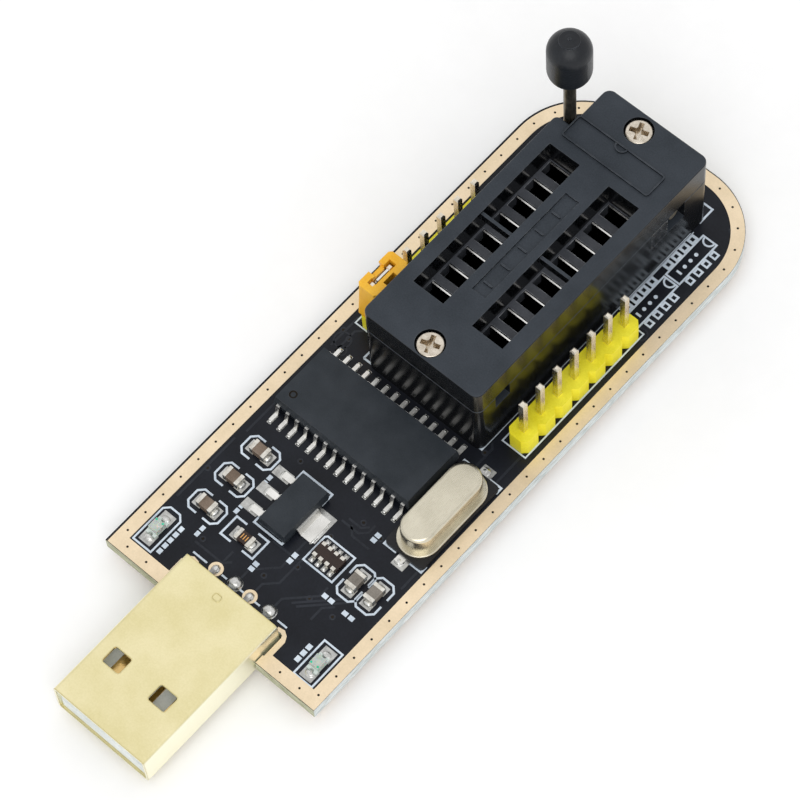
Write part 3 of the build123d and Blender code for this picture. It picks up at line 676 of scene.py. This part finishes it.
from_plug = [
    staircase((-0.9, 5.6), (0, 1.2), (2.2, 2.2), (0, 4.0), (-0.8, 0.8)),
    staircase((1.1, 5.6), (0, 0.9), (1.2, 1.2), (0, 3.2)),
    staircase((3.6, 5.6), (0, 1.0), (2.6, 2.6), (0, 1.2)),
    staircase((-3.4, 5.8), (0, 1.4)),
    staircase((-7.0, 5.6), (3.6, 0), (0.7, 0.7)),
    staircase((7.2, 6.8), (0, 1.6), (0.9, 0.9)),
    staircase((4.6, 6.9), (3.8, 3.8), (0, 0.4)),
    staircase((5.2, 6.9), (4.0, 4.0)),
]
round_regulator = [
    staircase((-1.2, 10.6), (3.0, 0), (0.9, 0.9)),
    staircase((2.4, 16.6), (2.2, 0), (0.7, 0.7), (0, 1.0)),
    staircase((2.8, 17.2), (1.6, 0), (0.6, 0.6)),
    staircase((6.5, 16.0), (-2.2, 0), (-0.8, 0.8)),
]
beside_ring = [
    staircase((-11.3, 17.6), (0, 5.2), (0.6, 0.6), (0, 4.4)),
    staircase((-11.7, 8.0), (0, 8.4)),
    staircase((11.7, 14.9), (0, 12.4), (-0.5, 0.5), (0, 6.0)),
    staircase((11.6, 52.6), (0, 4.0), (-0.4, 0.4)),
]
to_socket = [
    staircase((8.5, 29.6), (0, 2.4), (-0.6, 0.6)),
    staircase((-11.4, 30.2), (0, 4.0), (0.8, 0.8)),
    staircase((-10.6, 29.9), (0, 3.0), (0.8, 0.8)),
]
under = Piece()
for path in from_plug + round_regulator + beside_ring + to_socket:
    under.ribbon(path, TRACE_WIDTH, 0.0, TRACE)
for x, y, radius in ((-10.9, 31.4, 0.9), (-10.2, 30.4, 0.55), (11.4, 51.2, 0.7)):
    under.ribbon(circle(x, y, radius, 24), RING_LINE, 0.0, TRACE, closed=True)
under.finish("masked_traces", "mask_relief")

front_vias = [(2.5, 10.1), (0.6, 7.3), (5.6, 8.4), (8.6, 8.4), (-6.6, 6.3), (-11.5, 12.2), (2.75, 14.6)]
middle_vias = [(-5.0, 18.7), (4.2, 17.8), (6.6, 17.6), (-11.0, 23.9), (-11.3, 28.6), (11.7, 29.1)]
rear_vias = [(-10.5, 31.9), (-11.6, 32.3), (8.2, 31.2), (10.8, 66.2)]
BURIED_RIM = ((0.34, 0.0), (0.3, 0.02), (0.18, 0.02), (0.15, 0.0))
via_rims = Piece()
via_pits = Piece()
for x, y in front_vias + middle_vias + rear_vias:
    via_rims.lathe(x, y, BURIED_RIM)
    # Painted shade: a near-black disc in each via's pit.
    via_pits.plate(circle(x, y, BURIED_RIM[-1][0], 10), 0.0, TRACE / 2)
via_rims.finish("masked_via_rims", "mask_relief", smooth=40)
via_pits.finish("masked_via_shade", "painted_shade")


# ---- printed outlines ----

POWER_BOX = ((-11.85, -9.5), (1.9, 6.7))
POWER_BOX_CUT = 0.55
STATUS_BOX = ((9.68, 12.02), (1.66, 6.1))
BRACKET = (1.98, 1.22)
BRACKET_CUT = 0.55
BRACKET_GAP = 0.42
RESISTOR_BOX = ((-5.69, -1.45), (7.83, 10.22))
ARRAY_BOX = ((2.35, 6.12), (11.05, 14.42))
REGULATOR_BOX = ((-4.0, -0.2), (10.87, 18.03))
CRYSTAL_BOX_Y = (17.45, 29.3)
PLUG_LINE_Y = 4.66
SOCKET_BOX = ((-7.9, 7.75), (31.25, 66.85))
LEVER_ARC = (64.05, 0.85)
HEADER_LEFT = 1.62
HEADER_ENDS = (1.38, 1.43)
GUIDE_X = (8.95, 10.72)
GUIDE_Y = ((51.7, 57.75), (58.05, 63.92))
GUIDE_CENTRE = 9.83
GUIDE_PAD = 0.88
GUIDE_HOLE = (0.44, 0.4)

ink = Piece()


def line(*points, width=INK_WIDTH, closed=False):
    ink.ribbon(list(points), width, 0.0, INK, closed)


def block(x_span, y_span, holes=()):
    ink.plate(rectangle(x_span, y_span), 0.0, INK, holes)


def share(span, low, high):
    return [span[0] + (span[1] - span[0]) * part for part in (low, high)]


def bars(x_span, y_span, count, across=True):
    """Plain printed blocks where a label would be."""
    for k in range(count):
        low, high = (k + 0.12) / count, (k + 0.88) / count
        if across:
            block(share(x_span, low, high), y_span)
        else:
            block(x_span, share(y_span, low, high))


def lamp_box(x_span, y_span, cut=0.0):
    """Outline round a lamp, its rear corners cut off."""
    corners = rectangle(x_span, y_span)
    if cut:
        (x0, x1), (_, y1) = x_span, y_span
        corners = corners[:2] + [(x1, y1 - cut), (x1 - cut, y1), (x0 + cut, y1), (x0, y1 - cut)]
    line(*corners, closed=True, width=FINE_INK)


def brackets(place, turned):
    """Two facing brackets with cut corners, round a chip capacitor."""
    for side in (-1, 1):
        end = side * BRACKET[0]
        shape = [(side * BRACKET_GAP, -BRACKET[1]), (end - side * BRACKET_CUT, -BRACKET[1])]
        shape += [(end, BRACKET_CUT - BRACKET[1]), (end, BRACKET[1] - BRACKET_CUT)]
        shape += [(end - side * BRACKET_CUT, BRACKET[1]), (side * BRACKET_GAP, BRACKET[1])]
        line(*[(place[0] + (b if turned else a), place[1] + (a if turned else b)) for a, b in shape])


# Lamps
lamp_box(*POWER_BOX, POWER_BOX_CUT)
bars((-9.15, -8.65), (2.2, 6.0), 5, across=False)
lamp_box(*STATUS_BOX)
bars((8.75, 9.3), (2.6, 5.0), 3, across=False)

# Capacitors, with two short blocks beside each
for place in CAPACITORS_ACROSS:
    brackets(place, False)
for place in CAPACITORS_ALONG:
    brackets(place, True)
for x, y in ((-6.35, 11.0), (-6.3, 15.0), (-7.6, 6.7)):
    bars((x, x + 0.45), (y - 0.75, y + 0.75), 2, across=False)
for x, y in ((6.9, 9.3), (9.6, 9.2)):
    bars((x - 0.7, x + 0.9), (y, y + 0.5), 2)

# Resistor and array
(x0, x1), (y0, y1) = RESISTOR_BOX
line((x0 + 1.37, y0), (x0, y0), (x0, y1), (x0 + 1.37, y1))
line((x1 - 1.37, y0), (x1, y0), (x1, y1), (x1 - 1.37, y1))
bars((-1.1, -0.5), (6.7, 8.0), 2, across=False)
(x0, x1), (y0, y1) = ARRAY_BOX
line((x0, y0), (x1, y0), (x1, y1), (x0 + 0.2, y1), (x0, y1 - 0.22), closed=True, width=FINE_INK)
bars((1.2, 1.75), (9.7, 11.2), 2, across=False)

# Regulator, beside its leads and its tab
(x0, x1), (y0, y1) = REGULATOR_BOX
line((x0, y1 - 1.63), (x0, y1), (x1 + 0.05, y1), (x1 + 0.05, y1 - 1.58))
line((x0, y0 + 1.53), (x0, y0), (x1 - 0.1, y0), (x1 - 0.1, y0 + 1.33))

# Crystal
for y, inward in zip(CRYSTAL_BOX_Y, (0.8, -0.8)):
    for side in (-1, 1):
        near, far = (CRYSTAL_CENTRE[0] + side * reach for reach in (0.85, 2.4))
        line((near, y), (far, y), (far, y + inward))
bars((5.9, 6.5), (16.7, 18.0), 2, across=False)

# Behind the plug, in dashes between its joints
for dash in ((-6.36, -4.51), (-2.55, -1.85), (-0.2, 0.35), (1.75, 2.5), (4.83, 6.05)):
    line((dash[0], PLUG_LINE_Y), (dash[1], PLUG_LINE_Y), width=FINE_INK)

# Socket, with a half round where its first way is, and the two headers
(x0, x1), (y0, y1) = SOCKET_BOX
arc_y, arc_r = LEVER_ARC
line((x0, y0), (x1, y0), (x1, arc_y - arc_r), (x1 - 0.7, arc_y - arc_r))
line((x0, y0), (x0, y1), (x1, y1), (x1, arc_y + arc_r), (x1 - 0.7, arc_y + arc_r))
line(*arc(x1, arc_y, arc_r, 90, 270, 12), width=FINE_INK)
for (x, y), right_reach in ((RIGHT_HEADER, 1.36), (LEFT_HEADER, 1.5)):
    rear = y + PITCH * (HEADER_WAYS - 1) + HEADER_ENDS[1]
    outline = rectangle((x - HEADER_LEFT, x + right_reach), (y - HEADER_ENDS[0], rear))
    line(*outline, closed=True, width=HAIR_INK)

# Plan of two eight-lead chips, as a guide to where they go in the socket
for front, rear in GUIDE_Y:
    line(*rectangle(GUIDE_X, (front, rear)), closed=True, width=FINE_INK)
    line(*arc(GUIDE_CENTRE, rear - 0.1, 0.62, 180, 360, 12), width=FINE_INK)
    block((9.5, 10.15), (front + 0.9, front + 1.15))
    for k in range(3):
        ink.plate(circle(GUIDE_CENTRE, front + 1.9 + 0.9 * k, 0.22), 0.0, INK)
    for k in range(4):
        y = front + 1.0 + FINE_PITCH * k
        for x, tall in ((8.42, 1.0), (11.28, 0.82)):
            hole = rectangle(about(x, GUIDE_HOLE[0]), about(y, GUIDE_HOLE[1]))
            block(about(x, GUIDE_PAD), about(y, tall), [hole])
block((7.93, 8.02), (51.9, 63.6))
ink.finish("printed_outlines", "silkscreen")


# ---- pads and solder ----

REGULATOR_PITCH = 2.3
REGULATOR_PAD = (2.1, 1.15)
REGULATOR_TOE_X = -5.28
TAB_PAD = ((-0.35, 2.1), (12.95, 16.3))
CHIP_PART_PAD = (1.1, 1.35)
CHIP_PART_END = 1.06
CAPACITOR_DROP = 0.34
RESISTOR_DROP = 0.25
LAMP_PAD = (1.5, 1.35)
LAMP_END = 1.2
ARRAY_PITCH = 0.8
ARRAY_PAD = (0.5, 0.75)
CRYSTAL_PAD = 1.5
CRYSTAL_LEAD_Y = 6.25
TAIL_RING_R = 0.98

pads = Piece()
drops = Piece()


def pad(x_span, y_span):
    pads.plate(rectangle(x_span, y_span, 0.06), 0.0, COPPER)


for k in range(CHIP_LEADS):
    x = CHIP_CENTRE[0] + (k - (CHIP_LEADS - 1) / 2) * FINE_PITCH
    for side in (-1, 1):
        tip = CHIP_CENTRE[1] + side * LEAD_SPAN / 2
        pad(about(x, 0.5), sorted((tip + side * 0.3, tip - side * 0.95)))
        drops.dome(x, tip + side * 0.06, (0.22, 0.2), 0.2, COPPER)

for number in (-1, 0, 1):
    y = REGULATOR_CENTRE[1] + REGULATOR_PITCH * number
    pad(about(-5.3, REGULATOR_PAD[0]), about(y, REGULATOR_PAD[1]))
    drops.dome(REGULATOR_TOE_X, y, (0.26, 0.42), 0.12, COPPER)
pad(*TAB_PAD)
drops.dome(1.72, REGULATOR_CENTRE[1], (0.3, 1.4), 0.16, COPPER)

crosswise = [(place, CAPACITOR_DROP) for place in CAPACITORS_ACROSS] + [(RESISTOR_CENTRE, RESISTOR_DROP)]
for (x, y), height in crosswise:
    for side in (-1, 1):
        pad(about(x + side, CHIP_PART_PAD[0]), about(y, CHIP_PART_PAD[1]))
        drops.dome(x + side * CHIP_PART_END, y, (0.27, 0.5), height, COPPER)
for x, y in CAPACITORS_ALONG:
    for side in (-1, 1):
        pad(about(x, CHIP_PART_PAD[1]), about(y + side, CHIP_PART_PAD[0]))
        drops.dome(x, y + side * CHIP_PART_END, (0.5, 0.27), CAPACITOR_DROP, COPPER)
for x, y in (POWER_LED, STATUS_LED):
    for side in (-1, 1):
        pad(about(x, LAMP_PAD[0]), about(y + side * 1.275, LAMP_PAD[1]))
        drops.dome(x, y + side * LAMP_END, (0.5, 0.38), 0.2, COPPER)
for way in range(4):
    for side in (-1, 1):
        x = ARRAY_CENTRE[0] + (way - 1.5) * ARRAY_PITCH
        y = ARRAY_CENTRE[1] + side * 1.05
        pad(about(x, ARRAY_PAD[0]), about(y, ARRAY_PAD[1]))
        drops.dome(x, y + side * 0.1, (0.2, 0.28), 0.16, COPPER)
for side in (-1, 1):
    y = CRYSTAL_CENTRE[1] + side * CRYSTAL_LEAD_Y
    pad(about(CRYSTAL_CENTRE[0] + 0.2, CRYSTAL_PAD), about(y, CRYSTAL_PAD))
    drops.dome(CRYSTAL_CENTRE[0], y + side * 0.1, (0.5, 0.45), 0.24, COPPER)

joint_rings = Piece()
for number, x in enumerate(USB_CONTACT_X):
    x += USB_X
    joint_rings.lathe(x, USB_JOINT_Y, [(0.78, 0.0), (0.76, COPPER), (0.46, COPPER), (0.45, -0.2)], 24)
    if number % 2:
        drops.dome(x, USB_JOINT_Y + 0.05, (0.72, 0.72), 0.62, COPPER, 20)
    else:
        drops.dome(x, USB_JOINT_Y - 0.05, (0.44, 0.44), 0.3, 0.03, 20)
joint_rings.finish("plug_joint_rings", "ring_gold", smooth=35)
pads.finish("solder_pads", "flat_solder")
drops.finish("solder_fillets", "solder", smooth=60)

# Underside: a cone of solder round every tail
tails = [(x, y + PITCH * way) for x, y in (LEFT_HEADER, RIGHT_HEADER) for way in range(HEADER_WAYS)]
tails += [(x, FIRST_CONTACT_Y + PITCH * way) for x in ROWS for way in range(ZIF_WAYS)]
tails += [(USB_X + x, USB_JOINT_Y) for x in USB_CONTACT_X]
under_face = -BOARD_THICKNESS
copper_face = under_face - COPPER
ring_profile = [(TAIL_RING_R, under_face), (TAIL_RING_R - 0.02, copper_face), (0.3, copper_face)]
cone_profile = [(0.86, copper_face), (0.74, under_face - 0.12), (0.52, under_face - 0.42)]
cone_profile += [(0.41, under_face - 0.85), (0.34, under_face - 1.08), (0.0, under_face - 1.14)]
rings = Piece()
cones = Piece()
for x, y in tails:
    rings.lathe(x, y, ring_profile, 20)
    cones.lathe(x, y, cone_profile, 18)
rings.finish("tail_rings", "ring_gold", smooth=30)
cones.finish("tail_solder", "solder", smooth=60)


# ---- details on the parts ----

LAMP_BASE = 0.35
LAMP_TOP = 0.85
MARK_REACH = (0.42, 0.46)
DIE = 0.34
BAND_Z = (0.5, 0.512)
DIMPLE_FLOOR = CHIP_TOP - 0.08
DIMPLE_R = 0.44
EMBLEM_X = 11.0
EMBLEM_Y = (58.6, 61.4)
EMBLEM_Z = (ZIF_TOP - 0.02, ZIF_TOP + 0.2)
EMBLEM_RIB = 0.16
TICK = (1.1, 0.2)
TICK_Z = (ZIF_TOP - 0.24, ZIF_TOP - 0.03)

# Green corner marks on each lamp and an amber die in it
greens = Piece()
dies = Piece()
for x, y in (POWER_LED, STATUS_LED):
    for side in (-1, 1):
        mark_y = y + (MARK_REACH[1] if x < 0 else -MARK_REACH[1])
        greens.plate(circle(x + side * MARK_REACH[0], mark_y, 0.12, 10), LAMP_TOP, LAMP_TOP + 0.012)
    dies.plate(rectangle(about(x, DIE), about(y, DIE)), LAMP_BASE, LAMP_BASE + 0.1)
greens.finish("lamp_marks", "green_ink")
dies.finish("lamp_dies", "amber_ink")

# Plain value bands on the resistor
bands = Piece()
for shift in (-0.3, 0.0, 0.3):
    x = RESISTOR_CENTRE[0] + shift
    bands.plate(rectangle(about(x, 0.09), about(RESISTOR_CENTRE[1], 0.55)), *BAND_Z)
bands.finish("resistor_bands", "amber_ink")

# Dark ring round the pin-one dimple: painted shade of its rim, partly the darker polish of the dimple
mark = Piece()
inner_rim = circle(*PIN_ONE, 0.27, 24)
mark.plate(circle(*PIN_ONE, DIMPLE_R, 24), DIMPLE_FLOOR, DIMPLE_FLOOR + 0.014, [inner_rim])
mark.finish("pin_one_rim_shade", "painted_shade")

# Bright pip on the short arm of every socket contact
pips = Piece()
for x in ROWS:
    for way in range(ZIF_WAYS):
        y = FIRST_CONTACT_Y + PITCH * way - CONTACT_REACH + 0.1
        pips.dome(x, y, (0.2, 0.1), 0.12, FRONT_ARM_TOP + 0.17, 10)
pips.finish("contact_pips", "contact_nickel", smooth=60)

# Raised outline of a chip and a row of ticks, one to each pair of contacts, on the socket's cover
relief = Piece()
# Its walls take socket_plastic's near-black wall colour, a painted shade that outlines it; it stands 0.22 mm
# high so that outline shows.
relief.ribbon(rectangle(about(ROW_CENTRE, EMBLEM_X), EMBLEM_Y, 0.3), EMBLEM_RIB, *EMBLEM_Z, closed=True)
relief.ribbon(arc(ROW_CENTRE, EMBLEM_Y[1], 0.7, 180, 360, 12), EMBLEM_RIB, *EMBLEM_Z)
for way in range(ZIF_WAYS):
    y = FIRST_CONTACT_Y + PITCH * way - 0.4
    relief.plate(rectangle(about(ROW_CENTRE, TICK[0]), about(y, TICK[1]), 0.08), *TICK_Z)
relief.finish("cover_relief", "socket_plastic")


# ---- floor, lights and camera ----

FLOOR_SIZE = 1.6
WORLD_STRENGTH = 0.85
OVERHEAD_POWER = 0.15
FRONT_POWER = 1.42
floor_mesh = bpy.data.meshes.new("floor")
builder = bmesh.new()
bmesh.ops.create_grid(builder, x_segments=4, y_segments=4, size=FLOOR_SIZE / 2)
builder.to_mesh(floor_mesh)
builder.free()
floor = bpy.data.objects.new("floor", floor_mesh)
bpy.context.collection.objects.link(floor)
floor_mesh.materials.append(LOOKS["floor_paper"].material)
floor.location.z = cad_low.z
floor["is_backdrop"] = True

scene = bpy.context.scene
scene.view_settings.view_transform = "Standard"
scene.view_settings.exposure = 0.0
world = bpy.data.worlds.new("studio")
scene.world = world
world.use_nodes = True
background = world.node_tree.nodes["Background"]
background.inputs["Color"].default_value = (1.0, 1.0, 1.0, 1.0)
background.inputs["Strength"].default_value = WORLD_STRENGTH


def softbox(name, place, size, power):
    """Square area light aimed at the middle of the part."""
    data = bpy.data.lights.new(name, "AREA")
    data.shape = "RECTANGLE"
    data.size = data.size_y = size
    data.energy = power
    lamp = bpy.data.objects.new(name, data)
    lamp.location = place
    lamp.rotation_euler = Vector(place).to_track_quat("Z", "Y").to_euler()
    bpy.context.collection.objects.link(lamp)


softbox("overhead_softbox", (-0.18, 0.16, 0.62), 0.6, OVERHEAD_POWER)
softbox("front_softbox", (0.3, -0.3, 0.5), 0.5, FRONT_POWER)

CAMERA_AZIMUTH = math.radians(46.91)
CAMERA_ELEVATION = math.radians(63.133)
CAMERA_ROLL = math.radians(-5.781)
CAMERA_DISTANCE = 0.356359
CAMERA_TARGET = Vector((-0.002026, 0.002526, BOARD_TOP * MM))
LENS = 161.54
SENSOR_WIDTH = 36.0
back = Vector((math.sin(CAMERA_AZIMUTH) * math.cos(CAMERA_ELEVATION),
               -math.cos(CAMERA_AZIMUTH) * math.cos(CAMERA_ELEVATION), math.sin(CAMERA_ELEVATION)))
right = Vector((math.cos(CAMERA_AZIMUTH), math.sin(CAMERA_AZIMUTH), 0.0))
up = back.cross(right)
turned_right = right * math.cos(CAMERA_ROLL) + up * math.sin(CAMERA_ROLL)
turned_up = -right * math.sin(CAMERA_ROLL) + up * math.cos(CAMERA_ROLL)
camera_data = bpy.data.cameras.new("camera")
camera_data.lens = LENS
camera_data.sensor_width = SENSOR_WIDTH
camera_data.clip_start = 0.01
camera = bpy.data.objects.new("camera", camera_data)
axes = Matrix((turned_right, turned_up, back)).transposed().to_4x4()
camera.matrix_world = Matrix.Translation(CAMERA_TARGET + back * CAMERA_DISTANCE) @ axes
bpy.context.collection.objects.link(camera)
scene.camera = camera

low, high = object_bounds()
